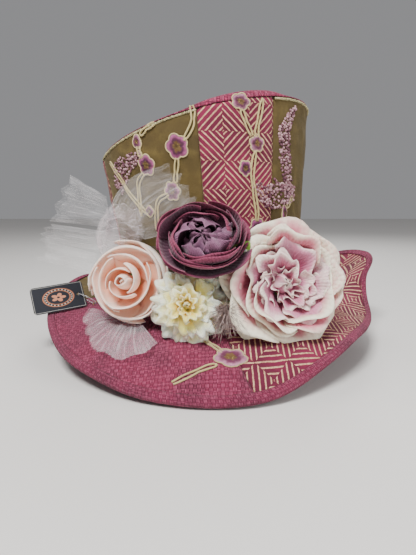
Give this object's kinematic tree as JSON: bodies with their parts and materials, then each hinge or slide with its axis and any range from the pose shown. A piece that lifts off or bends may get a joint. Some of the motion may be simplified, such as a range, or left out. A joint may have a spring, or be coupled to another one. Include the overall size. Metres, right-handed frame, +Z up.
{
  "type": "top hat",
  "caption": "Costume top hat with a flared, slanted patchwork crown, a swept wavy brim, cloth flowers, tulle, corded lace and a swing tag.",
  "frame": {"origin": "middle of the head opening, level with the sweatband's bottom edge", "axes": "+Z up through the crown, -Y to the hat's front where the flowers are, +X to the wearer's left, which is the upturned side of the brim"},
  "size_m": [0.3875, 0.3831, 0.2522],
  "materials": {
    "tweed": "matt wool-look basket weave",
    "jacquard": "woven plum and cream nested-diamond jacquard",
    "olive_velvet": "soft pile velvet",
    "buckram": "stiffened open-weave buckram",
    "satin": "smooth lining satin",
    "grosgrain": "ribbed ribbon",
    "felt": "wool felt",
    "wire": "drawn steel millinery wire",
    "tulle": "soft fine net",
    "cord": "twisted cord embroidery",
    "blossom": "embroidered thread",
    "leaf": "moulded stem green",
    "feather": "fluffy feather down",
    "card": "coated card",
    "clear_plastic": "clear nylon",
    "garden_rose": "printed polyester petals, ivory to deep pink",
    "peony": "dark plum polyester petals",
    "foam_rose": "matt peach foam petals",
    "carnation": "cream polyester petals"
  },
  "bodies": {
    "hat": {"crown_panel_front_left_velvet": "olive_velvet", "crown_panel_right_velvet": "olive_velvet", "crown_panel_back_velvet": "olive_velvet", "brim_top_left_velvet": "olive_velvet", "crown_panel_front_jacquard": "jacquard", "crown_panel_back_jacquard": "jacquard", "crown_panel_left_jacquard": "jacquard", "brim_top_right_jacquard": "jacquard", "crown_panel_right_tweed": "tweed", "tip_cover": "tweed", "brim_top_front_tweed": "tweed", "brim_top_back_tweed": "tweed", "brim_underside": "tweed", "brim_binding": "tweed", "crown_stiffener": "buckram", "tip_stiffener": "buckram", "brim_stiffener": "buckram", "crown_lining": "satin", "tip_lining": "satin", "sweatband": "grosgrain", "flower_pad": "felt", "head_size_wire": "wire", "crown_top_wire": "wire", "brim_edge_wire": "wire", "tulle_upper_loop": "tulle", "tulle_tail_high": "tulle", "tulle_tail_middle": "tulle", "tulle_tail_low": "tulle", "tulle_brim_fan": "tulle", "tulle_knot": "tulle", "lace_vine_left": "cord", "lace_vine_middle": "cord", "lace_vine_centre_left": "cord", "lace_vine_right": "cord", "lace_vine_brim": "cord", "tag_stitch": "cord", "lace_blossom_left": "blossom", "lace_blossom_centre_left": "blossom", "lace_blossom_middle": "blossom", "lace_blossom_low": "blossom", "leaf": "leaf", "garden_rose_calyx_and_stem": "leaf", "peony_calyx_and_stem": "leaf", "foam_rose_calyx_and_stem": "leaf", "carnation_calyx_and_stem": "leaf", "feather_tuft": "feather", "garden_rose_outer_petals": "garden_rose", "garden_rose_middle_petals": "garden_rose", "garden_rose_inner_petals": "garden_rose", "garden_rose_heart": "garden_rose", "peony_outer_petals": "peony", "peony_middle_petals": "peony", "peony_heart": "peony", "foam_rose_outer_petals": "foam_rose", "foam_rose_middle_petals": "foam_rose", "foam_rose_heart": "foam_rose", "carnation_outer_petals": "carnation", "carnation_heart": "carnation"},
    "loop": {"tag_loop": "clear_plastic"},
    "tag": {"swing_tag": "card"}
  },
  "joints": [
    {"name": "tag_lift", "type": "hinge", "parent": "hat", "child": "loop", "pos_m": [-0.12521, -0.04083, 0.00119], "axis": [-0.2844, 0.7374, -0.6127], "range_deg": [0, 60]},
    {"name": "tag_turn", "type": "hinge", "parent": "loop", "child": "tag", "pos_m": [-0.14403, -0.04023, 0.01064], "axis": [-0.2844, 0.7374, -0.6127], "range_deg": [0, 20]}
  ]
}
